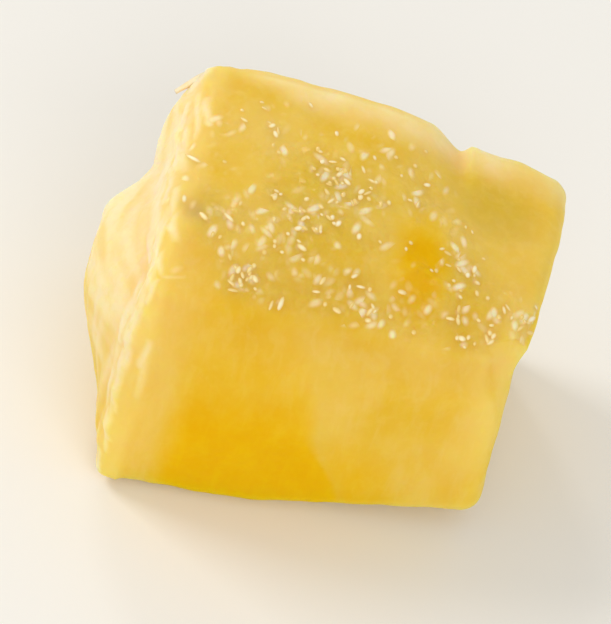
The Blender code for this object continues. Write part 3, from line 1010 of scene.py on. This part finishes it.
def fleck_material():
    material = bpy.data.materials.new("wet_fleck_glint")
    material.use_nodes = True
    tree = material.node_tree
    shader = tree.nodes["Principled BSDF"]
    grain = add_node(tree, "ShaderNodeGroup", node_tree=GRAIN)
    grain.inputs["Cells per metre"].default_value = 4000.0
    tone = mix_colour(tree, grain.outputs["Cloud"], FLECK_GLINT_LOW, FLECK_GLINT_HIGH)
    # The crown field paints a highlight: gold at the rim, pale at the crown.
    melted = mix_colour(tree, field_node(tree, "crown"), FLECK_RIM, tone)
    tree.links.new(melted, shader.inputs["Base Color"])
    shader.inputs["Roughness"].default_value = 0.25
    shader.inputs["Coat Weight"].default_value = 0.6
    shader.inputs["Coat Roughness"].default_value = 0.12
    return material


sliver.data.materials.append(fibre_material())
flecks.data.materials.append(fleck_material())

# %% [markdown]
# ## The floor
# A broad, pale, slightly warm surface with a faint mottle, so that it reads as a real board.

# %% Lay the floor
BOARD_LOW, BOARD_HIGH = (0.90, 0.885, 0.85, 1.0), (0.93, 0.92, 0.89, 1.0)
FLOOR_SIZE, FLOOR_DROP = 3.0, 0.00002


def floor_material():
    material = bpy.data.materials.new("pale_board")
    material.use_nodes = True
    tree = material.node_tree
    shader = tree.nodes["Principled BSDF"]
    place = add_node(tree, "ShaderNodeTexCoord").outputs["Object"]
    mottle = add_node(tree, "ShaderNodeTexNoise")
    mottle.inputs["Scale"].default_value = 60.0
    mottle.inputs["Detail"].default_value = 4.0
    tree.links.new(place, mottle.inputs["Vector"])
    tint = mix_colour(tree, mottle.outputs["Fac"], BOARD_LOW, BOARD_HIGH)
    tree.links.new(tint, shader.inputs["Base Color"])
    shader.inputs["Roughness"].default_value = 0.55
    return material


bpy.ops.mesh.primitive_plane_add(size=FLOOR_SIZE, location=(0.0, 0.0, -FLOOR_DROP))
floor = bpy.context.active_object
floor.name = "floor"
floor.data.materials.append(floor_material())

# %% [markdown]
# ## Light
# One soft box stands behind and to the left. It rakes the top face, where the torn cells throw
# its light back as glints, and it shines on the bulging left face. A wide, weak panel in front
# keeps the front face amber and clear, a small lamp behind sharpens the glints, and the pale sky
# fills the rest.


# %% Set the lights
def area_light(name, place, size, power, colour):
    light = bpy.data.lights.new(name, "AREA")
    light.shape = "RECTANGLE"
    light.size, light.size_y = size
    light.energy = power
    light.color = colour
    holder = bpy.data.objects.new(name, light)
    holder.location = place
    aim = Vector((0.0, 0.0, 0.007)) - holder.location
    holder.rotation_euler = aim.to_track_quat("-Z", "Y").to_euler()
    bpy.context.scene.collection.objects.link(holder)
    return holder


area_light("key_box", (-0.24, 0.10, 0.22), (0.12, 0.12), 0.36, (1.0, 0.985, 0.96))
area_light("front_panel", (0.10, -0.50, 0.35), (0.50, 0.40), 1.25, (1.0, 0.985, 0.95))
area_light("glint_lamp", (-0.09, 0.24, 0.24), (0.045, 0.045), 0.08, (1.0, 0.99, 0.97))

world = bpy.data.worlds.new("pale_room")
world.use_nodes = True
world.node_tree.nodes["Background"].inputs["Color"].default_value = (1.0, 0.985, 0.95, 1.0)
world.node_tree.nodes["Background"].inputs["Strength"].default_value = 0.6
bpy.context.scene.world = world
bpy.context.scene.view_settings.view_transform = "Standard"

# %% [markdown]
# ## Camera
# A long lens looks down on the cube from the front, a little round to its left, and is turned
# about its own axis, as when one leans over a bowl. A long lens keeps the edges near parallel.

# %% Place the camera
AZIMUTH, ELEVATION, ROLL = math.radians(-9.0), math.radians(46.0), math.radians(17.0)
LENS, DISTANCE = 350.0, 0.285
target = Vector((-0.0003, 0.0, 0.0062))
outward = Vector(
    (
        math.sin(AZIMUTH) * math.cos(ELEVATION),
        -math.cos(AZIMUTH) * math.cos(ELEVATION),
        math.sin(ELEVATION),
    )
)
camera_data = bpy.data.cameras.new("camera")
camera_data.lens = LENS
camera_data.clip_start = 0.01
camera = bpy.data.objects.new("camera", camera_data)
turn = (-outward).to_track_quat("-Z", "Y").to_matrix().to_4x4()
camera.matrix_world = (
    Matrix.Translation(target + outward * DISTANCE) @ turn @ Matrix.Rotation(ROLL, 4, "Z")
)
bpy.context.scene.collection.objects.link(camera)
bpy.context.scene.camera = camera
